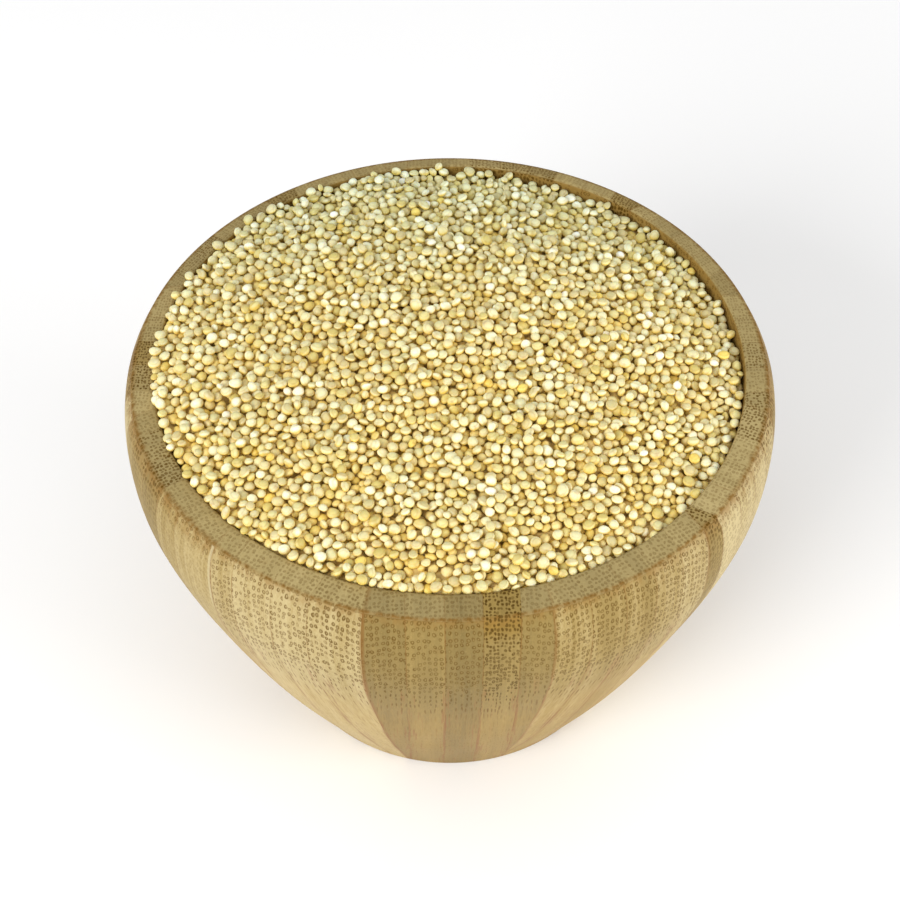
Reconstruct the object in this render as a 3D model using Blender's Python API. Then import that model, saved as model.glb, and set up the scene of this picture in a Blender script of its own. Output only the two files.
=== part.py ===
"""A turned bamboo bowl heaped with dry quinoa, as two solids: the bowl and the heap.

Metres, +Z up. The bowl stands on z = 0 and its outside is turned about the Z axis. Its hollow is
turned about a second axis, a little further back, so the rim is wider in front than behind.
"""

import math
import random

import bmesh
import bpy
from mathutils.geometry import delaunay_2d_cdt

MM = 0.001

# The bowl's outside
BOWL_HEIGHT = 81.2 * MM
FOOT_RADIUS = 35.4 * MM
FOOT_BEVEL = 1.2 * MM
CREST_RADIUS = 58.0 * MM
CREST_BEVEL = 0.5 * MM
# Height and radius of the outer wall: a straight cone, a shoulder, then the rim drawn in to its crest
WALL_STATIONS = (
    (0.0 * MM, FOOT_RADIUS),
    (24.5 * MM, 46.7 * MM),
    (48.5 * MM, 55.6 * MM),
    (63.0 * MM, 59.7 * MM),
    (71.5 * MM, 60.3 * MM),
    (78.0 * MM, 59.5 * MM),
    (BOWL_HEIGHT, CREST_RADIUS),
)
WALL_RINGS = 9

# The hollow, a superellipse turned about its own axis
MOUTH_RADIUS = 54.0 * MM
HOLLOW_SHIFT = 1.35 * MM
FLOOR_THICKNESS = 9.0 * MM
HOLLOW_ROUNDNESS = 2.2
HOLLOW_RINGS = 7
LIP_BEVEL = 0.6 * MM

# The heap: a dome on the mouth of the hollow, lower towards the back right
CLEARANCE = 0.35 * MM
HEAP_EDGE_DROP = 1.0 * MM
HEAP_TILT = 1.8 * MM
HEAP_LOW_SIDE = math.radians(30.0)
HEAP_RISE = 7.7 * MM
HEAP_SWELL = 0.35 * MM
SWELL_HALF_WAVE = 23.0 * MM
SWELL_PHASES = (2.1, 0.7)

# The grains that show on it, as bumps of their size
GRAIN_SPACING = 1.9 * MM
GRAIN_CAP = 0.55 * MM
GRAIN_CAP_SPREAD = 0.28 * MM
GAP_DEPTH = 0.50 * MM
EDGE_MARGIN = 1.15 * MM
GRAIN_TRIES = 60000
GRAIN_SEED = 20

SEGMENTS = 64
MERGE_DISTANCE = 1e-6
SHARP_ANGLE = math.radians(40.0)

BAMBOO_COLOUR = (0.50, 0.36, 0.15, 1.0)
BAMBOO_ROUGHNESS = 0.45
QUINOA_COLOUR = (0.72, 0.60, 0.29, 1.0)
QUINOA_ROUGHNESS = 0.6


def clear_scene():
    """Removes whatever the scene holds."""
    for old in list(bpy.data.objects):
        bpy.data.objects.remove(old, do_unlink=True)


def make_material(name, colour, roughness):
    """A Principled material of one colour."""
    material = bpy.data.materials.new(name)
    material.use_nodes = True
    shader = material.node_tree.nodes["Principled BSDF"]
    shader.inputs["Base Color"].default_value = colour
    shader.inputs["Roughness"].default_value = roughness
    shader.inputs["Metallic"].default_value = 0.0
    return material


def finish_object(name, bm, material):
    """Turns a closed bmesh into a smooth-shaded object with its faces pointing out."""
    bmesh.ops.recalc_face_normals(bm, faces=bm.faces)
    mesh = bpy.data.meshes.new(name)
    bm.to_mesh(mesh)
    bm.free()
    mesh.shade_smooth()
    mesh.set_sharp_from_angle(angle=SHARP_ANGLE)
    mesh.materials.append(material)
    made = bpy.data.objects.new(name, mesh)
    bpy.context.scene.collection.objects.link(made)
    return made


def wall_slope(index):
    """Change of radius with height at a station, from its neighbours on both sides."""
    below = WALL_STATIONS[max(index - 1, 0)]
    above = WALL_STATIONS[min(index + 1, len(WALL_STATIONS) - 1)]
    return (above[1] - below[1]) / (above[0] - below[0])


def wall_radius(height):
    """Radius of the outer wall, on a smooth cubic through the stations."""
    index = 0
    while index < len(WALL_STATIONS) - 2 and height > WALL_STATIONS[index + 1][0]:
        index += 1
    (low, low_radius), (high, high_radius) = WALL_STATIONS[index : index + 2]
    span = high - low
    t = (height - low) / span
    return (
        (2 * t**3 - 3 * t**2 + 1) * low_radius
        + (t**3 - 2 * t**2 + t) * span * wall_slope(index)
        + (3 * t**2 - 2 * t**3) * high_radius
        + (t**3 - t**2) * span * wall_slope(index + 1)
    )


def outside_profile():
    """Radius and height of the outside, from the middle of the base up to the rim's crest."""
    points = [(0.0, 0.0), (FOOT_RADIUS - FOOT_BEVEL, 0.0)]
    low = FOOT_BEVEL
    high = BOWL_HEIGHT - CREST_BEVEL
    for ring in range(WALL_RINGS + 1):
        share = math.sin(0.5 * math.pi * ring / WALL_RINGS)
        height = low + (high - low) * share
        points.append((wall_radius(height), height))
    points.append((CREST_RADIUS - CREST_BEVEL, BOWL_HEIGHT))
    return points


def hollow_profile(inset):
    """Radius and height of the hollow, from its lip down to the middle of its floor.

    An inset moves it inwards, for what fills the hollow without touching it.
    """
    depth = BOWL_HEIGHT - FLOOR_THICKNESS
    points = []
    for ring in range(HOLLOW_RINGS + 1):
        turn = 0.5 * math.pi * ring / HOLLOW_RINGS
        across = math.cos(turn) ** (2.0 / HOLLOW_ROUNDNESS) if ring < HOLLOW_RINGS else 0.0
        down = math.sin(turn) ** (2.0 / HOLLOW_ROUNDNESS)
        radius = MOUTH_RADIUS * across
        height = BOWL_HEIGHT - depth * down
        points.append((max(radius - inset * math.cos(turn), 0.0), height + inset * math.sin(turn)))
    return points


def spin_profile(bm, profile, axis_y):
    """Turns a profile of (radius, height) points about a vertical axis at y = axis_y."""
    verts = [bm.verts.new((radius, axis_y, height)) for radius, height in profile]
    edges = [bm.edges.new(pair) for pair in zip(verts, verts[1:])]
    bmesh.ops.spin(
        bm,
        geom=verts + edges,
        cent=(0.0, axis_y, 0.0),
        axis=(0.0, 0.0, 1.0),
        angle=2.0 * math.pi,
        steps=SEGMENTS,
        use_merge=True,
    )
    bmesh.ops.remove_doubles(bm, verts=bm.verts, dist=MERGE_DISTANCE)


def build_bowl():
    """The bowl: its outside and its hollow, each turned, and the flat rim between them."""
    bm = bmesh.new()
    spin_profile(bm, outside_profile(), 0.0)
    lip, *below = hollow_profile(0.0)
    lip_points = [(lip[0] + LIP_BEVEL, BOWL_HEIGHT), (lip[0], BOWL_HEIGHT - LIP_BEVEL)]
    spin_profile(bm, lip_points + below, HOLLOW_SHIFT)
    open_edges = [edge for edge in bm.edges if edge.is_boundary]
    bmesh.ops.bridge_loops(bm, edges=open_edges)
    material = make_material("bamboo", BAMBOO_COLOUR, BAMBOO_ROUGHNESS)
    return finish_object("bowl", bm, material)


def heap_height(x, y):
    """Height of the heap's mean surface at a point given from the hollow's axis."""
    share = math.hypot(x, y) / MOUTH_RADIUS
    towards_low = (x * math.cos(HEAP_LOW_SIDE) + y * math.sin(HEAP_LOW_SIDE)) / MOUTH_RADIUS
    swell_x = math.sin(SWELL_PHASES[0] + math.pi * x / SWELL_HALF_WAVE)
    swell_y = math.cos(SWELL_PHASES[1] + math.pi * y / SWELL_HALF_WAVE)
    edge = BOWL_HEIGHT - HEAP_EDGE_DROP - HEAP_TILT * towards_low
    return edge + HEAP_RISE * (1.0 - share**2) + HEAP_SWELL * swell_x * swell_y


def scatter_grains(limit):
    """Places of the grains that show: random points no closer together than a grain's width."""
    draw = random.Random(GRAIN_SEED)
    cells = {}
    grains = []
    for _ in range(GRAIN_TRIES):
        radius = limit * math.sqrt(draw.random())
        turn = 2.0 * math.pi * draw.random()
        x = radius * math.cos(turn)
        y = radius * math.sin(turn)
        column = math.floor(x / GRAIN_SPACING)
        row = math.floor(y / GRAIN_SPACING)
        around = [
            grain
            for i in (column - 1, column, column + 1)
            for j in (row - 1, row, row + 1)
            for grain in cells.get((i, j), ())
        ]
        if all(math.hypot(x - a, y - b) >= GRAIN_SPACING for a, b in around):
            cells.setdefault((column, row), []).append((x, y))
            grains.append((x, y))
    return grains


def cap_heap(bm, edge_ring):
    """Closes the heap's open top with a bump for each grain and a dip between three grains."""
    draw = random.Random(GRAIN_SEED + 1)
    grains = scatter_grains(MOUTH_RADIUS - CLEARANCE - EDGE_MARGIN)
    ring_places = [(vert.co.x, vert.co.y - HOLLOW_SHIFT) for vert in edge_ring]
    places = ring_places + grains
    _, _, faces, *_ = delaunay_2d_cdt(places, [], [], 0, MERGE_DISTANCE)
    verts = list(edge_ring)
    for x, y in grains:
        cap = GRAIN_CAP + GRAIN_CAP_SPREAD * (2.0 * draw.random() - 1.0)
        verts.append(bm.verts.new((x, y + HOLLOW_SHIFT, heap_height(x, y) + cap)))
    for face in faces:
        x = sum(places[corner][0] for corner in face) / 3.0
        y = sum(places[corner][1] for corner in face) / 3.0
        dip = bm.verts.new((x, y + HOLLOW_SHIFT, heap_height(x, y) - GAP_DEPTH))
        for start, end in zip(face, face[1:] + face[:1]):
            bm.faces.new((verts[start], verts[end], dip))


def build_heap():
    """The quinoa: it lines the hollow below, and a bumpy dome closes it above."""
    bm = bmesh.new()
    _, *below = hollow_profile(CLEARANCE)
    spin_profile(bm, below, HOLLOW_SHIFT)
    open_edges = [edge for edge in bm.edges if edge.is_boundary]
    raised = bmesh.ops.extrude_edge_only(bm, edges=open_edges)["geom"]
    edge_ring = [item for item in raised if isinstance(item, bmesh.types.BMVert)]
    for vert in edge_ring:
        turn = math.atan2(vert.co.y - HOLLOW_SHIFT, vert.co.x)
        x = (MOUTH_RADIUS - CLEARANCE) * math.cos(turn)
        y = (MOUTH_RADIUS - CLEARANCE) * math.sin(turn)
        vert.co = (x, y + HOLLOW_SHIFT, heap_height(x, y) - GAP_DEPTH)
    cap_heap(bm, edge_ring)
    material = make_material("quinoa", QUINOA_COLOUR, QUINOA_ROUGHNESS)
    return finish_object("quinoa", bm, material)


def main():
    """Builds both solids."""
    clear_scene()
    build_bowl()
    build_heap()


main()
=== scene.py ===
"""Looks of a turned bamboo bowl heaped with dry quinoa.

The bowl is turned again with many more faces, its strips laid out one by one, and the quinoa is
real grains, dropped one after another on a core that has their relief.
"""
import logging
import math
from dataclasses import dataclass
from enum import Enum
from typing import Any, Sequence

import bpy
import numpy as np
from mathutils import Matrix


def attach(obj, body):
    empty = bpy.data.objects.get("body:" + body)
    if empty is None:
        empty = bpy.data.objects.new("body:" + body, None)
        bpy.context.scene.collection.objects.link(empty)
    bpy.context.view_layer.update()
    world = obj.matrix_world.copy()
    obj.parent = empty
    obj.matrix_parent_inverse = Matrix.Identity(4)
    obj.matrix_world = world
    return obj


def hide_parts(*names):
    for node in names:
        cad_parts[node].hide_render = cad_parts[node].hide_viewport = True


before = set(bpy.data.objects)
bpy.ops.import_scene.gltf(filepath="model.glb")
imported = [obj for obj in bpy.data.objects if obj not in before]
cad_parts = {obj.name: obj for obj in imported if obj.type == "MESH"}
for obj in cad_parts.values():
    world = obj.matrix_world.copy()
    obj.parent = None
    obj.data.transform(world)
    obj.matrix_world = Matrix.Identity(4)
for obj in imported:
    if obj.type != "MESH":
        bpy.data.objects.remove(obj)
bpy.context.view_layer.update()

MM = 0.001
TURN = 2.0 * math.pi
BAKE_MAP = "OFBake"

Colour = tuple[float, float, float]
Vector = Sequence[float]
Array = np.ndarray
Piece = bpy.types.Object

log = logging.getLogger("quinoa_bowl")


class Wire:
    """A value in a material: a node's output that Python's operators work on."""

    def __init__(self, graph: "Graph", socket: bpy.types.NodeSocket) -> None:
        """Keeps the output and the graph that it belongs to."""
        self.graph = graph
        self.socket = socket

    def maths(self, operation: str, *others: "Wire | float") -> "Wire":
        """Adds one Math node.

        Args:
            operation: The Math node's operation.
            others: Its second and third values.

        Returns:
            The node's value.
        """
        values = dict(enumerate((self, *others)))
        return self.graph.node("ShaderNodeMath", {"operation": operation}, values)

    def __add__(self, other: "Wire | float") -> "Wire":
        """The sum."""
        return self.maths("ADD", other)

    __radd__ = __add__

    def __sub__(self, other: "Wire | float") -> "Wire":
        """The difference."""
        return self.maths("SUBTRACT", other)

    def __rsub__(self, other: float) -> "Wire":
        """The difference, from a number."""
        return self.maths("MULTIPLY_ADD", -1.0, other)

    def __mul__(self, other: "Wire | float") -> "Wire":
        """The product."""
        return self.maths("MULTIPLY", other)

    __rmul__ = __mul__

    def __truediv__(self, other: "Wire | float") -> "Wire":
        """The quotient."""
        return self.maths("DIVIDE", other)

    def __pow__(self, other: float) -> "Wire":
        """The power."""
        return self.maths("POWER", other)

    def beside(self, output: int | str) -> "Wire":
        """Another output of the same node."""
        return Wire(self.graph, self.socket.node.outputs[output])

    def size(self) -> "Wire":
        """The value without its sign."""
        return self.maths("ABSOLUTE")

    def step(self, start: float, end: "Wire | float") -> "Wire":
        """Rises smoothly from 0 at start to 1 at end, or falls if end is a lower number.

        Args:
            start: The value that gives 0.
            end: The value that gives 1.

        Returns:
            The smooth step.
        """
        if not isinstance(end, Wire) and end < start:
            return 1.0 - self.step(end, start)
        settings = {"interpolation_type": "SMOOTHSTEP"}
        return self.graph.node("ShaderNodeMapRange", settings, {0: self, 1: start, 2: end})

    def hump(self, centre: "Wire | float", width: "Wire | float") -> "Wire":
        """Is 1 at a centre and falls smoothly to 0 a width away on both sides."""
        return 1.0 - (self - centre).size().step(0.0, width)


class Graph:
    """The nodes of one material, with its Principled shader."""

    def __init__(self, name: str) -> None:
        """Starts a material that holds only a Principled shader.

        Args:
            name: The material's name.
        """
        self.material = bpy.data.materials.new(name)
        self.material.use_nodes = True
        self.tree = self.material.node_tree
        self.shader = self.tree.nodes["Principled BSDF"]

    def feed(self, socket: bpy.types.NodeSocket, value: Any) -> None:
        """Links a wire to an input, or sets it to a number, colour or vector.

        Args:
            socket: The input.
            value: The wire, number, colour or vector.
        """
        if isinstance(value, Wire):
            self.tree.links.new(value.socket, socket)
        elif isinstance(value, tuple) and len(socket.default_value) == 4:
            socket.default_value = (*value, 1.0)
        else:
            socket.default_value = value

    def node(self, kind: str, settings: dict, values: dict, output: int | str = 0) -> Wire:
        """Adds one node.

        Args:
            kind: Blender's name for the node's type.
            settings: The node's own properties, set before its inputs.
            values: What each input holds or is linked to, by its index or name.
            output: The output to return.

        Returns:
            That output.
        """
        made = self.tree.nodes.new(kind)
        for name, value in settings.items():
            setattr(made, name, value)
        for key, value in values.items():
            self.feed(made.inputs[key], value)
        return Wire(self, made.outputs[output])

    def attribute(self, name: str) -> tuple[Wire, Wire, Wire]:
        """The three numbers of a vector that the mesh carries."""
        vector = self.node("ShaderNodeAttribute", {"attribute_name": name}, {}, "Vector")
        return self.split(vector)

    def split(self, vector: Wire) -> tuple[Wire, Wire, Wire]:
        """The three numbers of a vector or a colour."""
        first = self.node("ShaderNodeSeparateXYZ", {}, {0: vector})
        return first, first.beside(1), first.beside(2)

    def vector(self, x: Wire | float, y: Wire | float, z: Wire | float = 0.0) -> Wire:
        """A vector of three values."""
        return self.node("ShaderNodeCombineXYZ", {}, {0: x, 1: y, 2: z})

    def place(self) -> Wire:
        """Where on the piece a point lies, in metres."""
        return self.node("ShaderNodeTexCoord", {}, {}, "Object")

    def noise(self, vector: Wire, scale: float, detail: float = 2.0, roughness: float = 0.5) -> Wire:
        """Soft noise from 0 to 1.

        Args:
            vector: Where it is read.
            scale: Its patches for each unit of the vector.
            detail: How many finer layers it has.
            roughness: How strong the finer layers are.

        Returns:
            The noise.
        """
        values = {"Vector": vector, "Scale": scale, "Detail": detail, "Roughness": roughness}
        return self.node("ShaderNodeTexNoise", {}, values, "Fac")

    def mix(self, share: Wire | float, first: Any, second: Any, blend: str = "MIX") -> Wire:
        """Mixes two colours.

        Args:
            share: How much of the second shows.
            first: The colour at 0.
            second: The colour at 1.
            blend: The Mix node's blend type.

        Returns:
            The mixed colour.
        """
        settings = {"data_type": "RGBA", "blend_type": blend}
        return self.node("ShaderNodeMix", settings, {0: share, 6: first, 7: second}, 2)

    def grey(self, value: Wire) -> Wire:
        """A grey colour of that brightness."""
        return self.node("ShaderNodeCombineColor", {}, {0: value, 1: value, 2: value})

    def bump(self, height: Wire, depth: float) -> Wire:
        """Relief of a given depth in metres, for the shader's normal."""
        values = {"Strength": 1.0, "Distance": depth, "Height": height}
        return self.node("ShaderNodeBump", {}, values, "Normal")

    def dress(self, **values: Any) -> bpy.types.Material:
        """Sets the shader's inputs.

        Args:
            values: What each input holds, with _ for a space in its name.

        Returns:
            The finished material.
        """
        for name, value in values.items():
            self.feed(self.shader.inputs[name.replace("_", " ")], value)
        return self.material


def make_piece(name: str, verts: Array, corners: Array, sides: Array) -> Piece:
    """Makes a smooth-shaded mesh object from arrays.

    Args:
        name: The piece's name.
        verts: Points, one row each, in metres.
        corners: The point of each face corner, face after face.
        sides: How many corners each face has.

    Returns:
        The object, linked to the scene.
    """
    mesh = bpy.data.meshes.new(name)
    mesh.vertices.add(len(verts))
    mesh.vertices.foreach_set("co", verts.astype(np.float32).ravel())
    mesh.loops.add(len(corners))
    mesh.loops.foreach_set("vertex_index", corners.astype(np.int32))
    mesh.polygons.add(len(sides))
    starts = np.concatenate(([0], np.cumsum(sides)[:-1]))
    mesh.polygons.foreach_set("loop_start", starts.astype(np.int32))
    mesh.update(calc_edges=True)
    mesh.validate()
    mesh.shade_smooth()
    piece = bpy.data.objects.new(name, mesh)
    bpy.context.scene.collection.objects.link(piece)
    return piece


def paint(piece: Piece, name: str, domain: str, *values: Array) -> None:
    """Stores three values on each point or corner of a piece, for its material.

    Args:
        piece: The piece.
        name: The attribute's name.
        domain: POINT or CORNER.
        values: The three values, as arrays that stretch to one shape.
    """
    layer = piece.data.attributes.new(name, "FLOAT_VECTOR", domain)
    rows = np.stack(np.broadcast_arrays(*values), -1)
    layer.data.foreach_set("vector", rows.astype(np.float32).ravel())


def lay_map(piece: Piece, places: Array) -> None:
    """Gives a piece its map, one place for each face corner."""
    layer = piece.data.uv_layers.new(name=BAKE_MAP)
    layer.uv.foreach_set("vector", places.astype(np.float32).ravel())


def turned_points(x: Array, y: Array, z: Array, poles: Sequence[Vector]) -> Array:
    """The points of a closed turned shape: its rings one after another, then its two poles.

    Args:
        x: The rings' places along X, one row for each ring.
        y: Their places along Y.
        z: Their heights, or one height for each ring.
        poles: The points that close the shape at its first and its last ring.

    Returns:
        One row for each point.
    """
    rings = np.stack(np.broadcast_arrays(x, y, z), 2)
    return np.concatenate([rings.reshape(-1, 3), poles])


@dataclass(frozen=True)
class TurnedFaces:
    """The faces of a closed turned shape, corner by corner.

    points has each corner's point, and ring its ring, with the poles at 0 and one past the last.
    column is the column that the corner's face starts at, and step is 1 for a corner on the
    column after that one. sides is how many corners each face has.
    """

    points: Array
    ring: Array
    column: Array
    step: Array
    sides: Array

    @classmethod
    def between(cls, rings: int, columns: int) -> "TurnedFaces":
        """Lays quads between the rings, then a fan to each pole.

        Args:
            rings: How many rings the shape has.
            columns: How many points each ring has.

        Returns:
            The faces.
        """
        quads = (rings - 1) * columns
        low, column = np.divmod(np.arange(quads), columns)
        strips = np.stack([low, low, low + 1, low + 1], 1).ravel() + 1
        fans = [np.tile(fan, columns) for fan in ([0, 1, 1], [rings, rings, rings + 1])]
        ring = np.concatenate([strips, *fans])
        fan_column = np.tile(np.repeat(np.arange(columns), 3), 2)
        column = np.concatenate([np.repeat(column, 4), fan_column])
        step = np.concatenate([np.tile([0, 1, 1, 0], quads), np.tile([0, 1, 0], 2 * columns)])
        points = (ring - 1) * columns + (column + step) % columns
        points[ring == 0] = rings * columns
        points[ring > rings] = rings * columns + 1
        return cls(points, ring, column, step, np.repeat([4, 3], [quads, 2 * columns]))


def report(piece: Piece, node: str) -> None:
    """Hands a piece to the frame and logs it.

    Args:
        piece: The finished piece.
        node: The CAD node that it stands for.
    """
    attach(piece, "root")
    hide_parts(node)
    piece.data.calc_loop_triangles()
    log.info("%s: %d triangles", piece.name, len(piece.data.loop_triangles))


@dataclass(frozen=True)
class BowlForm:
    """The bowl's own sizes in metres, as the solids have them."""

    height: float = 81.2 * MM
    foot_radius: float = 35.4 * MM
    foot_bevel: float = 1.2 * MM
    crest_radius: float = 58.0 * MM
    crest_bevel: float = 0.5 * MM
    wall: tuple[tuple[float, float], ...] = (
        (0.0 * MM, 35.4 * MM),
        (24.5 * MM, 46.7 * MM),
        (48.5 * MM, 55.6 * MM),
        (63.0 * MM, 59.7 * MM),
        (71.5 * MM, 60.3 * MM),
        (78.0 * MM, 59.5 * MM),
        (81.2 * MM, 58.0 * MM),
    )
    mouth_radius: float = 54.0 * MM
    hollow_shift: float = 1.35 * MM
    floor: float = 9.0 * MM
    roundness: float = 2.2
    lip_bevel: float = 0.6 * MM
    clearance: float = 0.35 * MM

    def wall_radius(self, heights: Array) -> Array:
        """Radius of the outer wall, on a smooth cubic through its stations.

        Args:
            heights: Heights above the table, in metres.

        Returns:
            The radius at each height.
        """
        z, r = np.array(self.wall).T
        below = np.maximum(np.arange(len(z)) - 1, 0)
        above = np.minimum(np.arange(len(z)) + 1, len(z) - 1)
        slope = (r[above] - r[below]) / (z[above] - z[below])
        i = np.clip(np.searchsorted(z, heights) - 1, 0, len(z) - 2)
        span = z[i + 1] - z[i]
        t = (heights - z[i]) / span
        return (
            (2 * t**3 - 3 * t**2 + 1) * r[i]
            + (t**3 - 2 * t**2 + t) * span * slope[i]
            + (3 * t**2 - 2 * t**3) * r[i + 1]
            + (t**3 - t**2) * span * slope[i + 1]
        )

    def hollow(self, rings: int, inset: float = 0.0) -> Array:
        """Radius and height of the hollow's rings, from its mouth to the middle of its floor.

        Args:
            rings: How many rings it has, its middle included.
            inset: How far inside the wood the rings lie, in metres.

        Returns:
            One row for each ring.
        """
        turn = np.linspace(0.0, 0.5 * math.pi, rings)
        across = np.cos(turn).clip(0.0) ** (2.0 / self.roundness)
        down = np.sin(turn) ** (2.0 / self.roundness)
        radius = self.mouth_radius * across - inset * np.cos(turn)
        height = self.height - (self.height - self.floor) * down + inset * np.sin(turn)
        radius[-1] = 0.0
        return np.stack([radius.clip(0.0), height], 1)


class Zone(Enum):
    """The stretches of the bowl's turned outline."""

    FOOT = 0
    WALL = 1
    RIM = 2
    HOLLOW = 3


@dataclass(frozen=True)
class Block:
    """One of the tapered blocks that the bowl is glued up from, made of parallel strips.

    start is where it starts, in degrees round the bowl from the front, positive to the right.
    plain is how far its marks fade on the wall. joints are where its strips meet, in millimetres
    across it from its middle, and looks has each strip's tone and how many bundle marks it shows,
    each from the left. edges has the look of its left and right edge: -1 stained, 1 pale.
    """

    start: float
    tone: float
    plain: float = 0.5
    joints: tuple[float, ...] = ()
    looks: tuple[tuple[float, float], ...] = ()
    edges: tuple[float, float] = (-0.25, 0.0)


@dataclass(frozen=True)
class BlockLayout:
    """How the blocks lie round the bowl, with those strips that the photo shows well.

    The strips of the other blocks are drawn: where the first joint lies and how wide the strips
    are, in millimetres, how much their tones differ and the range of their marks. past_joints
    is where a strip that a block doesn't have ends, beyond every joint.
    """

    most_strips: int = 6
    strip_width: float = 6.3
    first_joint: tuple[float, float] = (-10.5, -7.5)
    drawn_joints: int = 4
    tone_spread: float = 0.15
    marks_range: tuple[float, float] = (0.4, 0.9)
    past_joints: float = 99.0
    seed: int = 5
    blocks: tuple[Block, ...] = (
        Block(
            -14.2, -0.28, 0.0, (-8.7, -2.2, 4.1, 10.3),
            ((0.13, 0.70), (0.27, 0.48), (0.00, 0.58), (0.30, 1.00), (0.18, 0.42)), (-1.0, 0.0),
        ),
        Block(
            16.9, 0.10, 0.0, (-9.4, -2.9, 3.3, 9.4),
            ((0.18, 0.62), (0.10, 0.70), (0.06, 0.62), (0.24, 0.64), (0.36, 0.60)),
        ),
        Block(
            47.6, 0.50, 0.5, (-11.3, -5.0, 1.3, 7.7),
            ((-0.46, 0.92), (0.20, 0.42), (0.10, 0.60), (0.15, 0.48), (-0.05, 0.84)),
        ),
        Block(
            77.4, 0.10, 0.6, (-10.0, -3.8, 2.6, 8.8),
            ((-0.10, 0.86), (0.10, 0.46), (-0.08, 0.80), (0.10, 0.55), (0.00, 0.50)),
        ),
        Block(107.4, -0.05),
        Block(
            138.5, -0.06, 0.5, (-7.2, -0.8, 5.6),
            ((-0.25, 0.92), (0.10, 0.42), (0.12, 0.45), (-0.20, 0.88)),
        ),
        Block(165.5, -0.06),
        Block(
            193.5, -0.06, 0.5, (-6.2, 0.1, 6.4),
            ((0.05, 0.46), (0.00, 0.50), (0.10, 0.44), (-0.35, 0.90)),
        ),
        Block(219.6, -0.05),
        Block(
            250.0, 0.48, 0.7, (-8.6, -2.2, 4.0, 10.4),
            ((0.05, 0.60), (-0.10, 0.72), (-0.38, 0.95), (-0.30, 0.88), (0.22, 0.45)),
        ),
        Block(
            283.6, 0.16, 0.70, (-11.8, -5.4, 1.0, 7.4),
            ((0.10, 0.44), (0.02, 0.80), (-0.18, 0.86), (0.10, 0.50), (0.20, 0.40)), (0.0, 1.0),
        ),
        Block(
            317.2, 0.47, 0.0, (-9.7, -1.7, 5.3),
            ((0.00, 0.46), (0.10, 0.50), (0.10, 0.62), (0.00, 0.74)),
        ),
    )

    def middles(self) -> tuple[Array, Array]:
        """Where the blocks lie.

        Returns:
            The place of each block's middle and half its width, in degrees.
        """
        starts = np.array([block.start for block in self.blocks])
        ends = np.append(starts[1:], starts[0] + 360.0)
        return (starts + ends) / 2.0, (ends - starts) / 2.0

    def strips(self) -> Array:
        """Each block's strips, with plain ones where the photo shows none.

        Returns:
            Where each strip ends, its tone and its marks, for each block.
        """
        draw = np.random.default_rng(self.seed)
        laid = np.zeros((len(self.blocks), self.most_strips, 3))
        for row, block in zip(laid, self.blocks):
            joints = block.joints
            looks = block.looks
            if not joints:
                first = draw.uniform(*self.first_joint)
                joints = tuple(first + self.strip_width * n for n in range(self.drawn_joints))
                looks = tuple(
                    (draw.normal(0.0, self.tone_spread), draw.uniform(*self.marks_range))
                    for _ in range(self.drawn_joints + 1)
                )
            row[:, 0] = self.past_joints
            row[: len(joints), 0] = joints
            row[: len(looks), 1] = [block.tone + look[0] for look in looks]
            row[: len(looks), 2] = [look[1] for look in looks]
        return laid


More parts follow.
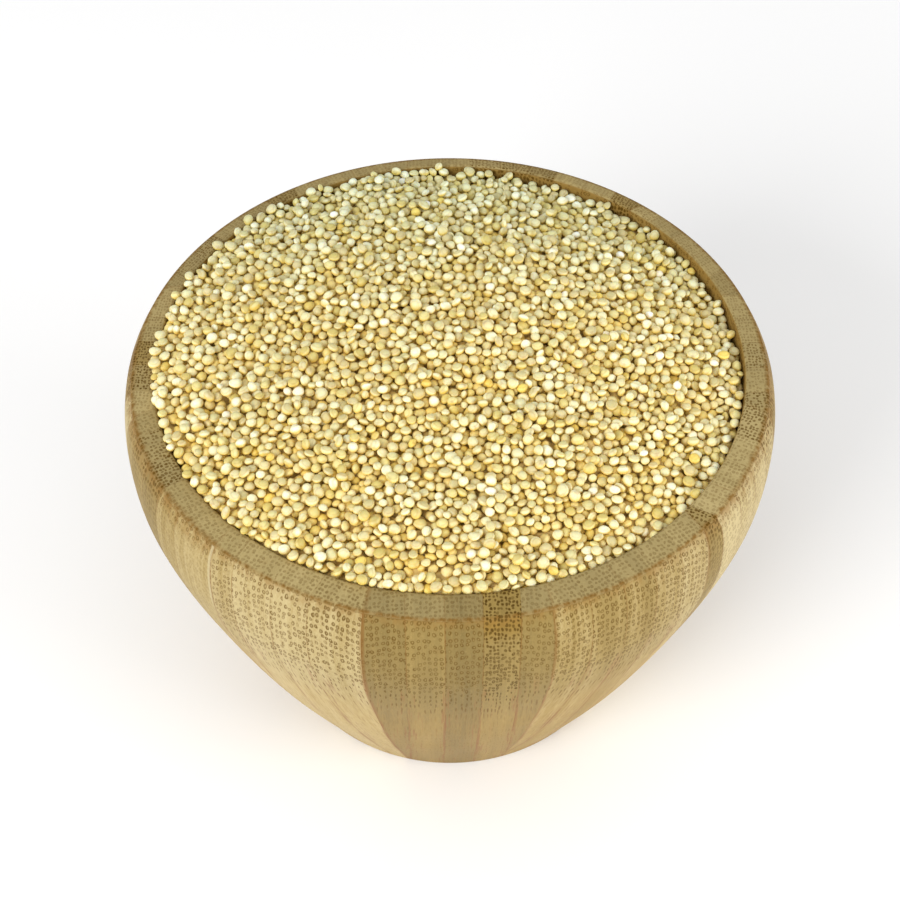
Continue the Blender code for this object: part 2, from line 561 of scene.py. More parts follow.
@dataclass(frozen=True)
class BambooFinish:
    """Lacquered bamboo: bundle marks cut across the fibre, glued strips, a browner crest with
    painted shade.

    mark, char and scar are the bundle marks: most of them, crowded ones and those low on the wall.
    The hollow's wall is painted paler further down, as painted light.
    """

    wall: Colour = (0.258, 0.179, 0.054)
    pale: Colour = (0.585, 0.505, 0.300)
    rim: Colour = (0.326, 0.251, 0.104)
    hollow: Colour = (0.262, 0.158, 0.036)
    painted_hollow_light: Colour = (0.42, 0.29, 0.078)
    mark: Colour = (0.108, 0.053, 0.002)
    char: Colour = (0.088, 0.045, 0.003)
    tinge: Colour = (0.90, 0.79, 0.50)
    pith: Colour = (0.38, 0.27, 0.098)
    crest: Colour = (0.185, 0.088, 0.013)
    painted_crest_shade: Colour = (0.245, 0.128, 0.026)
    scar: Colour = (0.160, 0.076, 0.012)
    stain: Colour = (0.24, 0.100, 0.026)
    low: Colour = (0.337, 0.215, 0.059)
    roughness: float = 0.54

    def material(self, strips: int) -> bpy.types.Material:
        """Builds the material, which reads the blocks and strips from the bowl's mesh.

        Args:
            strips: How many strips a block can have.

        Returns:
            The material.
        """
        g = Graph("bamboo_finish")
        across, fibre, block = g.attribute("block_place")
        rim, hollow, below = g.attribute("block_zone")
        plain, block_edge, edge_look = g.attribute("block_edge")
        number, tone, marks, edge = self.strip_looks(g, strips, across, block)
        along = g.vector(across, below * 0.07, number * 7.3)
        fine = g.noise(g.vector(across, fibre * 0.6, number), 5.0, 3.0, 0.65)
        broad = g.noise(along, 0.45, 2.0)
        thread = g.noise(g.vector(across * 2.2, below * 0.07, number * 5.1), 1.0, 3.0, 0.6)
        patches = g.noise(g.place(), 90.0, 2.0)
        shade = (
            tone * (1.1 - 0.5 * rim)
            + (fine - 0.5) * 0.75
            + (broad - 0.5) * 0.7
            + (thread - 0.5) * 0.5
        )
        lower = below.step(20.0, 42.0)
        colour = g.mix(lower * 0.55, self.wall, self.low)
        colour = g.mix(rim * (0.90 - 0.40 * tone.step(-0.10, -0.40)), colour, self.rim)
        colour = g.mix(1.0, colour, g.grey(1.0 + 0.62 * shade), "MULTIPLY")
        colour = g.mix(shade.step(0.10, 0.95) * (0.55 - 0.35 * rim), colour, self.pale)
        dense = marks.step(0.85, 1.0)
        tinged = g.mix(1.0, colour, self.tinge, "MULTIPLY")
        colour = g.mix(dense * (below.step(6.0, 1.5) - 0.1 * rim), colour, tinged)
        # Painted light: the hollow's wall gets paler further down, against the shade near the
        # grains.
        inner = g.mix((0.0 - below).step(5.5, 10.5), self.hollow, self.painted_hollow_light)
        colour = g.mix(hollow * (0.55 + 0.6 * patches), colour, inner)
        near = edge.step(1.7, 0.3)
        stained = (thread + 0.05 * near - 0.56).step(0.0, 0.12) * below.step(14.0, 24.0)
        colour = g.mix(stained * (broad + 0.3 * near).step(0.40, 0.65) * 0.6, colour, self.stain)
        crowd = marks + 0.16 * near
        ring, core = self.bundles(g, (across, fibre), number, marks, rim, below.step(5.0, 24.0))
        waver = g.noise(g.vector(across, number), 0.30, 1.0)
        faded = 1.0 - 0.10 * below.step(20.0, 27.0)
        faded = faded - 0.62 * (below + (waver - 0.5) * 16.0).step(30.0, 36.0)
        faded = faded * (1.0 - 0.8 * plain * below.step(0.5, 5.0))
        shown = ring * (0.60 + 0.46 * crowd) * (faded - 0.38 * rim * marks.step(0.95, 0.65))
        cores = core * marks.step(0.90, 0.60) * 0.16 * faded * (1.0 - rim)
        colour = g.mix(cores, colour, self.pith)
        smudge = g.noise(g.vector(across * 0.6, below * 0.8, number), 0.5, 2.0).step(0.60, 0.78)
        colour = g.mix(smudge * 0.30 * marks * below.step(34.0, 24.0), colour, self.crest)
        outside = 1.0 - hollow
        # Patchy noise that breaks up the crest line and the painted shade below it.
        crest_patches = g.noise(g.vector(across, below * 0.5, block), 0.9, 3.0, 0.6)
        # Painted shade: a soft golden-brown band just below the crest.
        shaded = below.hump(0.9, 1.9 + 2.4 * plain) * crest_patches.step(0.30, 0.62) * outside * (1.0 - rim)
        colour = g.mix(shaded * (0.50 + 0.25 * plain), colour, self.painted_crest_shade)
        # The dark crest line: partly the wood's own brown edge, partly painted shade over the
        # bevel's lit face.
        crest = (below + (crest_patches - 0.5) * 0.7).hump(0.28, 0.72 + 0.5 * plain) * outside
        crest = crest * (0.40 + 0.75 * crest_patches.step(0.34, 0.62))
        colour = g.mix(crest * 0.80, colour, self.crest)
        brown = g.mix(marks.step(0.80, 1.0), self.mark, self.char)
        brown = g.mix(below.step(22.0, 32.0), brown, self.scar)
        colour = g.mix(shown, colour, brown)
        line = g.noise(along, 1.3)
        joint = (edge - 0.14 * lower).step(0.19, 0.04) * line.step(0.36, 0.60)
        joint = joint.maths("MAXIMUM", block_edge.step(0.40, 0.12) * line.step(0.30, 0.62))
        glue = g.mix(below.step(24.0, 14.0) * 0.8, self.stain, self.crest)
        colour = g.mix(joint * (0.58 + 0.06 * lower - 0.34 * rim), colour, glue)
        beside = block_edge.step(0.75, 0.45) * outside
        weaker = 1.0 - 0.6 * rim
        stained_edge = edge_look.step(0.0, -1.0) * beside * line.step(0.20, 0.60) * weaker
        colour = g.mix(stained_edge * (0.55 + 0.20 * below.step(16.0, 8.0)), colour, glue)
        pale_edge = edge_look.step(0.0, 1.0) * beside * below.step(21.0, 12.0) * (1.0 - rim)
        colour = g.mix(pale_edge * 0.48, colour, self.pale)
        relief = 1.0 - shown * 0.8 - joint + fine * 0.25
        return g.dress(
            Base_Color=colour,
            Roughness=self.roughness + (patches - 0.5) * 0.12 + shown * 0.1 + crest * 0.25,
            Specular_IOR_Level=0.16,
            Normal=g.bump(relief, 0.02 * MM),
        )

    def strip_looks(self, g: Graph, strips: int, across: Wire, block: Wire) -> tuple[Wire, ...]:
        """Finds the strip that a point is on.

        Args:
            g: The material's graph.
            strips: How many strips a block can have.
            across: Millimetres across the block.
            block: The block's number.

        Returns:
            The strip's number, its tone, its marks, and the distance to the nearest joint.
        """
        end, tone, marks = g.attribute("strip_0")
        number = block * 11.0
        edge = (across - end).size()
        for strip in range(1, strips):
            passed = (across - end).step(-0.02, 0.02)
            number = number + across.maths("GREATER_THAN", end)
            end, next_tone, next_marks = g.attribute(f"strip_{strip}")
            tone = tone + passed * (next_tone - tone)
            marks = marks + passed * (next_marks - marks)
            edge = edge.maths("MINIMUM", (across - end).size())
        return number, tone, marks, edge

    def bundles(
        self, g: Graph, place: tuple[Wire, Wire], number: Wire, marks: Wire, rim: Wire, deep: Wire
    ) -> tuple[Wire, Wire]:
        """The bundles of fibre where the surface cuts them: small rings, filled where crowded.

        Args:
            g: The material's graph.
            place: Millimetres across the strips, and across the fibre.
            number: The strip's number.
            marks: How crowded the strip's bundles are.
            rim: 1 on the rim, where they are cut square and look smaller.
            deep: 1 well below the crest, where crowded bundles get sparser.

        Returns:
            How dark each point is, and where the paler cores are.
        """
        dense = marks.step(0.80, 1.0)
        sparse_rim = rim * (1.0 - dense)
        crowd = (1.00 + 0.16 * marks + 0.42 * dense) * (1.0 + 0.24 * sparse_rim)
        across, fibre = place
        bend = g.noise(g.vector(across, fibre, number), 1.1, 1.0)
        bend_more = g.noise(g.vector(across, fibre, number + 50.0), 1.1, 1.0)
        x = (across + (bend - 0.5) * 0.5) * crowd + number * 17.3
        y = (fibre + (bend_more - 0.5) * 0.5) * crowd * 1.22
        cells = {"voronoi_dimensions": "2D", "feature": "F1"}
        values = {"Vector": g.vector(x, y), "Scale": 1.0, "Randomness": 0.46}
        tint = g.node("ShaderNodeTexVoronoi", cells, values, "Color")
        chance, size, depth = g.split(tint)
        middle_x, middle_y, _ = g.split(tint.beside("Position"))
        streaky = deep.step(0.80, 1.0)
        side_x = (x - middle_x) / crowd * (1.0 + 1.3 * streaky)
        side_y = (y - middle_y) / crowd
        reach = (side_x * side_x + side_y * side_y) ** 0.5
        inner_x = side_x - (chance - 0.5) * 0.12
        inner_y = side_y + (depth - 0.5) * 0.08
        inner = (inner_x * inner_x + inner_y * inner_y) ** 0.5
        filled = marks.step(0.68, 0.82) * (1.0 - 0.8 * deep.step(0.01, 0.10))
        radius = 0.27 + 0.07 * size - 0.06 * sparse_rim - (0.05 + 0.03 * filled) * dense
        disc = (reach - radius).step(0.05, -0.05)
        core = (inner - radius * 0.43).step(0.06, -0.05) * (1.0 - streaky)
        ends = side_y * side_y / (reach * reach + 0.01) * (1.0 - filled)
        ring = disc * (1.0 - core * (1.0 - filled) * (0.85 - 0.5 * rim)) * (1.0 - 0.20 * ends)
        missing = 0.04 + 0.34 * deep * marks.step(0.5, 1.0)
        darker = ring * (0.68 + 0.32 * depth) * (chance - missing).step(0.0, 0.06)
        return darker, core


@dataclass
class BambooBowl:
    """The bowl, turned ring by ring, with a column of faces on every joint between blocks.

    wall_cuts and rim_cuts have millimetres below the crest, and the angle in degrees at which the
    surface cuts the fibre there.
    """

    form: BowlForm
    layout: BlockLayout
    finish: BambooFinish
    columns_a_block: int = 32
    lean: float = math.radians(22.0)
    foot_rings: int = 7
    wall_rings: int = 62
    rim_rings: int = 8
    hollow_rings: int = 34
    bevel_rings: int = 4
    wall_cuts: tuple[Vector, Vector] = (
        (0, 6, 16, 24, 31, 40, 52, 70),
        (38, 33, 28, 17, 7, 6, 15, 14),
    )
    rim_cuts: tuple[Vector, Vector] = ((0.0, 0.6, 4.0, 40.0), (80, 45, 24, 20))

    def bevel(self, start: Vector, run: float, rise: float, level: bool) -> list[Vector]:
        """A quarter round in the outline, without its first point.

        Args:
            start: The radius and height that it starts from.
            run: How far its radius changes.
            rise: How far its height changes.
            level: Whether it starts level, and not upright.

        Returns:
            Its radii and heights.
        """
        bend = np.linspace(0.0, 0.5 * math.pi, self.bevel_rings + 1)[1:]
        shares = np.sin(bend), 1.0 - np.cos(bend)
        across, up = shares if level else shares[::-1]
        return list(zip(start[0] + run * across, start[1] + rise * up))

    def outline(self) -> tuple[Array, Array, list[Zone]]:
        """The turned outline, from the foot up the wall, over the rim and down the hollow.

        Returns:
            Radius and height of each ring, the share of the hollow's shift it has, and its zone.
        """
        form = self.form
        low = form.foot_bevel
        low_radius = float(form.wall_radius(np.array([low]))[0])
        foot_radius = form.foot_radius - form.foot_bevel
        foot = [(r, 0.0) for r in np.linspace(0.0, foot_radius, self.foot_rings)]
        foot += self.bevel((foot_radius, 0.0), low_radius - foot_radius, low, True)
        share = np.sin(np.linspace(0.0, 0.5 * math.pi, self.wall_rings))[1:]
        heights = low + (form.height - form.crest_bevel - low) * share
        wall = list(zip(form.wall_radius(heights), heights))
        flat_radius = form.crest_radius - form.crest_bevel
        crest = self.bevel(wall[-1], flat_radius - wall[-1][0], form.crest_bevel, False)
        lip_radius = form.mouth_radius + form.lip_bevel
        flat = np.linspace(flat_radius, lip_radius, self.rim_rings)
        rim = [(r, form.height) for r in flat[1:]]
        lip = self.bevel((lip_radius, form.height), -form.lip_bevel, -form.lip_bevel, True)
        turned = form.hollow(self.hollow_rings)
        hollow = [tuple(row) for row in turned if row[1] < form.height - 1.5 * form.lip_bevel]
        zones = (
            [Zone.FOOT] * len(foot)
            + [Zone.WALL] * len(wall)
            + [Zone.RIM] * (len(crest) + len(rim) + len(lip) // 2)
            + [Zone.HOLLOW] * (len(lip) - len(lip) // 2 + len(hollow))
        )
        shift = np.ones(len(zones))
        start = len(foot + wall + crest)
        shift[:start] = 0.0
        shift[start : start + len(rim)] = np.linspace(0.0, 1.0, self.rim_rings)[1:]
        return np.array(foot + wall + crest + rim + lip + hollow), shift, zones

    def fibre_depths(self, points: Array, crest: int) -> Array:
        """How far across the fibre each ring lies from the crest, in millimetres.

        The strips lean inwards going down, so the wall cuts the fibre at an angle that gets
        smaller down to the middle, where the marks draw out into streaks.

        Args:
            points: Radius and height of each ring.
            crest: The crest's ring.

        Returns:
            The depth of each ring, which rises down the wall and falls across the rim.
        """
        steps = np.linalg.norm(np.diff(points, axis=0), axis=1) / MM
        middle = (points[1:] + points[:-1]) / 2.0
        below = (self.form.height - middle[:, 1]) / MM
        wall_cut = np.interp(below, *self.wall_cuts)
        rim_cut = np.interp(below, *self.rim_cuts)
        cut = np.where(np.arange(len(steps)) < crest, wall_cut, rim_cut)
        run = np.concatenate(([0.0], np.cumsum(steps * np.sin(np.radians(cut)))))
        return run[crest] - run

    def build(self) -> Piece:
        """Turns the bowl and stores on its mesh what its finish reads.

        Returns:
            The bowl.
        """
        points, shift, zones = self.outline()
        per = self.columns_a_block
        middles, halves = self.layout.middles()
        part = np.arange(per) / per * 2.0 - 1.0
        turns = (middles[:, None] + halves[:, None] * part).ravel()
        angle = np.radians(turns - 90.0)
        inner = points[1:-1]
        x = inner[:, :1] * np.cos(angle)
        y = inner[:, :1] * np.sin(angle) + shift[1:-1, None] * self.form.hollow_shift
        poles = [(0.0, 0.0, points[0, 1]), (0.0, self.form.hollow_shift, points[-1, 1])]
        verts = turned_points(x, y, inner[:, 1:], poles)
        faces = TurnedFaces.between(len(inner), len(angle))
        bowl = make_piece("bamboo_bowl", verts, faces.points, faces.sides)
        self.store(bowl, points, zones, faces)
        bowl.data.materials.append(self.finish.material(self.layout.most_strips))
        return bowl

    def store(self, bowl: Piece, points: Array, zones: list[Zone], faces: TurnedFaces) -> None:
        """Stores blocks, strips, fibre and zones on the bowl's corners, and its map.

        Args:
            bowl: The bowl.
            points: Radius and height of each ring.
            zones: The zone of each ring.
            faces: The bowl's faces.
        """
        per = self.columns_a_block
        ring = faces.ring
        block = faces.column // per
        middles, halves = self.layout.middles()
        turn = np.radians(middles)[block]
        places = np.zeros(len(bowl.data.vertices) * 3)
        bowl.data.vertices.foreach_get("co", places)
        x, y, _ = places.reshape(-1, 3)[faces.points].T / MM
        across = x * np.cos(turn) + y * np.sin(turn)
        outward = x * np.sin(turn) - y * np.cos(turn)
        reach = np.hypot(x, y)
        kinds = np.array([zone.value for zone in zones])
        crest = int(np.flatnonzero(kinds == Zone.RIM.value)[self.bevel_rings // 2])
        depth = self.fibre_depths(points, crest)[ring] + (outward - reach) * math.cos(self.lean)
        steps = np.linalg.norm(np.diff(points, axis=0), axis=1) / MM
        run = np.concatenate(([0.0], np.cumsum(steps)))
        below = (run[crest] - run)[ring]
        rim, hollow = (kinds[ring] == zone.value for zone in (Zone.RIM, Zone.HOLLOW))
        part = (faces.column % per + faces.step) / per
        edge = np.minimum(part, 1.0 - part) * 2.0 * np.radians(halves)[block] * reach
        plain = np.array([each.plain for each in self.layout.blocks])[block]
        left, right = np.array([each.edges for each in self.layout.blocks])[block].T
        side = np.where(faces.column % per < per // 2, left, right)
        paint(bowl, "block_place", "CORNER", across, depth, block)
        paint(bowl, "block_edge", "CORNER", plain, edge, side)
        paint(bowl, "block_zone", "CORNER", rim, hollow, below)
        for number, strips in enumerate(self.layout.strips().swapaxes(0, 1)):
            paint(bowl, f"strip_{number}", "CORNER", *strips[block].T)
        share = (faces.column + faces.step) / (len(middles) * per)
        lay_map(bowl, np.stack([share, run[ring] / run[-1]], 1))


class Kind(Enum):
    """The kinds of grain in the heap, each with the end of its piece's name."""

    CREAM = "cream"
    PALE = "pale"
    YELLOW = "yellow"
    TAN = "tan"
    RINGED = "ringed"
    AMBER = "amber"
    WHITE = "white"


@dataclass(frozen=True)
class SeedFinish:
    """The skin of one kind of grain: its tone, its paler rim band and its germ's tip.

    under is painted shade where a grain looks down or lies deep, and the back of the heap gets
    a painted shade that darkens and cools it.
    """

    dull: Colour
    bright: Colour
    band: Colour
    germ: Colour
    under: Colour = (0.88, 0.63, 0.122)
    painted_back_shade: Colour = (0.84, 0.92, 1.03)
    roughness: float = 0.5

    def material(self, name: str) -> bpy.types.Material:
        """Builds the material, which reads each grain's tone from the mesh.

        Args:
            name: The material's name.

        Returns:
            The material.
        """
        g = Graph(name)
        tone, height, germ = g.attribute("seed_skin")
        facing, buried, _ = g.attribute("seed_side")
        mottle = g.noise(g.place(), 900.0, 2.0)
        colour = g.mix((tone + (mottle - 0.5) * 0.5).step(0.0, 1.0), self.dull, self.bright)
        colour = g.mix(height.step(0.55, 0.15) * 0.45, colour, self.band)
        groove = height.hump(0.62, 0.20)
        colour = g.mix(groove * 0.22, colour, self.germ)
        colour = g.mix(germ * (0.25 + 0.5 * tone), colour, self.germ)
        # Painted shade: a golden shade colour where a grain looks down or lies deep among the
        # others.
        painted_shade_share = (facing.step(0.80, -0.25) * 0.85).maths("MAXIMUM", buried * 0.75)
        colour = g.mix(painted_shade_share, colour, self.under)
        # Painted shade: the back of the heap darker and cooler.
        _, back, _ = g.split(g.place())
        back_in_shade = g.mix(1.0, colour, self.painted_back_shade, "MULTIPLY")
        colour = g.mix(back.step(0.0, 0.055) * 0.9, colour, back_in_shade)
        return g.dress(
            Base_Color=colour,
            Roughness=self.roughness,
            Normal=g.bump(mottle, 0.03 * MM),
            Subsurface_Weight=0.25,
            Subsurface_Radius=(1.0, 0.75, 0.35),
            Subsurface_Scale=0.5 * MM,
        )


@dataclass(frozen=True)
class CoreFinish:
    """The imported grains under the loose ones, in their shade."""

    deep: Colour = (0.51, 0.33, 0.08)
    top: Colour = (0.80, 0.60, 0.22)

    def material(self) -> bpy.types.Material:
        """Builds the material, with painted shade that darkens the dips of the relief.

        Returns:
            The material.
        """
        g = Graph("packed_grain")
        lift, _, _ = g.attribute("core_lift")
        mottle = g.noise(g.place(), 600.0, 2.0)
        # Painted shade: darker in the dips of the relief, paler on its tops.
        colour = g.mix(lift * (0.6 + 0.5 * mottle), self.deep, self.top)
        return g.dress(Base_Color=colour, Roughness=0.6, Normal=g.bump(mottle, 0.05 * MM))


@dataclass(frozen=True)
class HeapForm:
    """The heap's mean surface, as the solids have it, with a low bank at the back left."""

    bowl: BowlForm
    bank: float = 0.55 * MM
    bank_side: float = math.radians(142.0)
    edge_drop: float = 1.0 * MM
    tilt: float = 1.8 * MM
    low_side: float = math.radians(30.0)
    rise: float = 7.7 * MM
    swell: float = 0.35 * MM
    half_wave: float = 23.0 * MM
    phases: tuple[float, float] = (2.1, 0.7)

    def height(self, x: Array, y: Array) -> Array:
        """Height of the surface at places given from the hollow's axis.

        Args:
            x: Places along X, in metres.
            y: Places along Y, in metres.

        Returns:
            The heights.
        """
        mouth = self.bowl.mouth_radius
        share = np.hypot(x, y) / mouth
        towards_low = (x * math.cos(self.low_side) + y * math.sin(self.low_side)) / mouth
        wave_x = np.sin(self.phases[0] + math.pi * x / self.half_wave)
        wave_y = np.cos(self.phases[1] + math.pi * y / self.half_wave)
        edge = self.bowl.height - self.edge_drop - self.tilt * towards_low
        towards_bank = (x * math.cos(self.bank_side) + y * math.sin(self.bank_side)) / mouth
        edge = edge + self.bank * towards_bank.clip(0.0) * share**3
        return edge + self.rise * (1.0 - share**2) + self.swell * wave_x * wave_y


@dataclass
class Grain:
    """One grain where it lies: its middle, half sizes and axes."""

    middle: Array
    half: Array
    axes: Array


@dataclass(frozen=True)
class GrainSizes:
    """How wide the grains are, in millimetres, and their length and thickness for that width."""

    width: float = 1.78
    spread: float = 0.20
    least: float = 1.25
    most: float = 2.30
    longest: float = 1.12
    flattest: float = 0.60
    thickest: float = 0.86


class Pile:
    """Drops grains one by one on a height map, where each rolls to the lowest place near it."""

    STRIDES = (4, 2, 1)
    ROLLS = 7
    STILL = 1e-6

    def __init__(self, form: HeapForm, depth: float, seed: int, cell: float = 0.1 * MM) -> None:
        """Starts with a smooth surface below the heap's own, and the rim around it.

        Args:
            form: The heap's surface.
            depth: How far below it the pile starts, in metres.
            seed: The seed of all random draws.
            cell: The height map's cell, in metres.
        """
        self.form = form
        self.cell = cell
        self.sizes = GrainSizes()
        self.draw = np.random.default_rng(seed)
        self.reach = int((form.bowl.mouth_radius + 3.0 * MM) / cell)
        line = np.arange(-self.reach, self.reach + 1) * cell
        self.x, self.y = np.meshgrid(line, line, indexing="ij")
        radius = np.hypot(self.x, self.y)
        self.inside = radius < form.bowl.mouth_radius
        self.target = form.height(self.x, self.y)
        self.surface = np.where(self.inside, self.target - depth, form.bowl.height)
        self.surface = self.surface.astype(np.float32)

    def shape(self, spread: float) -> tuple[Array, Array]:
        """Draws a grain's half sizes and its axes.

        Args:
            spread: How far grains tilt from lying flat, in radians.

        Returns:
            Half sizes in metres, and the three axes as columns.
        """
        draw = self.draw
        sizes = self.sizes
        width = np.clip(draw.normal(sizes.width, sizes.spread), sizes.least, sizes.most)
        across = 0.5 * width * MM
        length = across * draw.uniform(1.0, sizes.longest)
        thick = across * draw.uniform(sizes.flattest, sizes.thickest)
        tilt = draw.normal(0.0, spread)
        lean = draw.uniform(0.0, TURN)
        spin = draw.uniform(0.0, TURN)
        axis = np.array([math.cos(lean), math.sin(lean), 0.0])
        across_axis = np.array([-axis[1], axis[0], 0.0])
        up = np.array([0.0, 0.0, 1.0])
        normal = math.cos(tilt) * up + math.sin(tilt) * axis
        slope = math.cos(tilt) * axis - math.sin(tilt) * up
        first = math.cos(spin) * slope + math.sin(spin) * across_axis
        second = np.cross(normal, first)
        return np.array([length, across, thick]), np.stack([first, second, normal], 1)

    def shadow(self, half: Array, axes: Array) -> tuple[int, Array, Array]:
        """The grain's underside and top over the cells that it covers.

        Args:
            half: Its half sizes.
            axes: Its axes.

        Returns:
            How many cells it reaches, its underside and its top from its middle.
        """
        reach = int(half[0] / self.cell) + 1
        line = np.arange(-reach, reach + 1) * self.cell
        x, y = np.meshgrid(line, line, indexing="ij")
        form = axes @ np.diag(1.0 / half**2) @ axes.T
        b = 2.0 * (form[0, 2] * x + form[1, 2] * y)
        c = form[0, 0] * x**2 + 2.0 * form[0, 1] * x * y + form[1, 1] * y**2 - 1.0
        root = b**2 - 4.0 * form[2, 2] * c
        held = root > 0.0
        root = np.sqrt(np.maximum(root, 0.0))
        under = np.where(held, (-b - root) / (2.0 * form[2, 2]), 1.0)
        over = np.where(held, (-b + root) / (2.0 * form[2, 2]), -1.0)
        return reach, under.astype(np.float32), over.astype(np.float32)

    def rest(self, i: int, j: int, reach: int, under: Array) -> float:
        """How high the grain's middle lies if it comes straight down on a cell."""
        below = self.surface[i - reach : i + reach + 1, j - reach : j + reach + 1]
        return float((below - under).max())

    def start(self, tries: int = 36, margin: float = 0.3 * MM) -> tuple[int, int]:
        """Picks the cell that lacks most height among a few drawn at random.

        Args:
            tries: How many cells it draws.
            margin: How far from the hollow's wall they stay, in metres.

        Returns:
            The cell's two numbers.
        """
        radius = (self.form.bowl.mouth_radius - margin) * np.sqrt(self.draw.random(tries))
        turn = TURN * self.draw.random(tries)
        i = np.rint(radius * np.cos(turn) / self.cell).astype(int) + self.reach
        j = np.rint(radius * np.sin(turn) / self.cell).astype(int) + self.reach
        best = int(np.argmax(self.target[i, j] - self.surface[i, j]))
        return int(i[best]), int(j[best])

    def drop(self, spread: float) -> Grain:
        """Drops one grain and lets it roll.

        Args:
            spread: How far grains tilt from lying flat, in radians.

        Returns:
            The grain where it came to rest.
        """
        half, axes = self.shape(spread)
        reach, under, over = self.shadow(half, axes)
        i, j = self.start()
        height = self.rest(i, j, reach, under)
        limit = self.form.bowl.mouth_radius / self.cell
        for stride in self.STRIDES:
            for _ in range(self.ROLLS):
                around = [
                    (self.rest(i + a, j + b, reach, under), i + a, j + b)
                    for a in (-stride, 0, stride)
                    for b in (-stride, 0, stride)
                    if (a or b) and math.hypot(i + a - self.reach, j + b - self.reach) < limit
                ]
                lowest = min(around) if around else (height, i, j)
                if lowest[0] >= height - self.STILL:
                    break
                height, i, j = lowest
        window = self.surface[i - reach : i + reach + 1, j - reach : j + reach + 1]
        np.maximum(window, over + np.float32(height), out=window)
        place = [self.x[i, j], self.y[i, j] + self.form.bowl.hollow_shift, height]
        return Grain(np.array(place), half, axes)

    def fill(self, left: float, spread: float) -> list[Grain]:
        """Drops grains until the surface is as far below the heap's as asked.

        Args:
            left: The mean distance to leave, in metres.
            spread: How far grains tilt from lying flat, in radians.

        Returns:
            The grains in the order in which they fell.
        """
        grains: list[Grain] = []
        while True:
            if len(grains) % 50 == 0:
                lack = (self.target - self.surface)[self.inside].mean()
                if lack <= left:
                    return grains
            grains.append(self.drop(spread))


@dataclass(frozen=True)
class SeedShape:
    """A grain's own form: a lens with a groove beside its rim band, made of rings and two poles."""

    segments: int = 12
    rings: int = 6
    square: float = 0.95
    dent: float = 0.0
    groove: float = 0.05
    groove_place: float = 0.62
    groove_width: float = 0.16
    nick: float = 0.10

    def unit(self) -> tuple[Array, Array]:
        """The form at half sizes of 1.

        Returns:
            Its points, and for each how far it lies from the rim band towards a pole.
        """
        lift = np.linspace(-0.5 * math.pi, 0.5 * math.pi, self.rings + 2)
        turn = np.arange(self.segments) * TURN / self.segments
        share = np.abs(np.sin(lift))
        up = np.sign(lift) * share**self.square * (1.0 - self.dent * share**6)
        groove = np.exp(-(((share - self.groove_place) / self.groove_width) ** 2))
        pinch = 1.0 - self.groove * groove
        across = (np.cos(lift).clip(0.0) ** self.square * pinch)[1:-1, None]
        poles = [(0.0, 0.0, up[0]), (0.0, 0.0, up[-1])]
        level = (up * pinch)[1:-1, None]
        points = turned_points(across * np.cos(turn), across * np.sin(turn), level, poles)
        return points, np.append(np.repeat(share[1:-1], self.segments), share[[0, -1]])

    def faces(self) -> tuple[TurnedFaces, Array]:
        """Its faces.

        Returns:
            The faces, and the place of each corner on a square map.
        """
        faces = TurnedFaces.between(self.rings, self.segments)
        pole = (faces.ring == 0) | (faces.ring > self.rings)
        u = (faces.column + np.where(pole, 0.5, faces.step)) / self.segments
        return faces, np.stack([u, faces.ring / (self.rings + 1)], 1)


@dataclass(frozen=True)
class KindLook:
    """One kind of grain: its share of the heap, its form and its finish."""

    share: float
    shape: SeedShape
    finish: SeedFinish


LOOKS: dict[Kind, KindLook] = {
    Kind.CREAM: KindLook(
        0.24,
        SeedShape(),
        SeedFinish((0.65, 0.60, 0.29), (0.83, 0.79, 0.49), (0.87, 0.83, 0.55), (0.42, 0.25, 0.05)),
    ),
    Kind.PALE: KindLook(
        0.22,
        SeedShape(square=1.0),
        SeedFinish((0.74, 0.71, 0.41), (0.91, 0.90, 0.64), (0.93, 0.93, 0.73), (0.58, 0.42, 0.14)),
    ),
    Kind.YELLOW: KindLook(
        0.16,
        SeedShape(),
        SeedFinish((0.60, 0.49, 0.15), (0.76, 0.68, 0.30), (0.83, 0.76, 0.38), (0.40, 0.22, 0.03)),
    ),
    Kind.TAN: KindLook(
        0.15,
        SeedShape(square=0.90),
        SeedFinish((0.60, 0.50, 0.23), (0.75, 0.67, 0.36), (0.82, 0.76, 0.46), (0.36, 0.19, 0.05)),
    ),
    Kind.RINGED: KindLook(
        0.18,
        SeedShape(square=0.86, dent=0.30, groove=0.12),
        SeedFinish((0.60, 0.52, 0.24), (0.79, 0.73, 0.41), (0.87, 0.83, 0.55), (0.36, 0.21, 0.04)),
    ),
    Kind.AMBER: KindLook(
        0.006,
        SeedShape(),
        SeedFinish((0.74, 0.52, 0.10), (0.86, 0.68, 0.16), (0.88, 0.72, 0.24), (0.40, 0.20, 0.02)),
    ),
    Kind.WHITE: KindLook(
        0.012,
        SeedShape(square=1.0),
        SeedFinish((0.92, 0.88, 0.66), (0.96, 0.94, 0.80), (0.96, 0.95, 0.84), (0.70, 0.60, 0.34)),
    ),
}


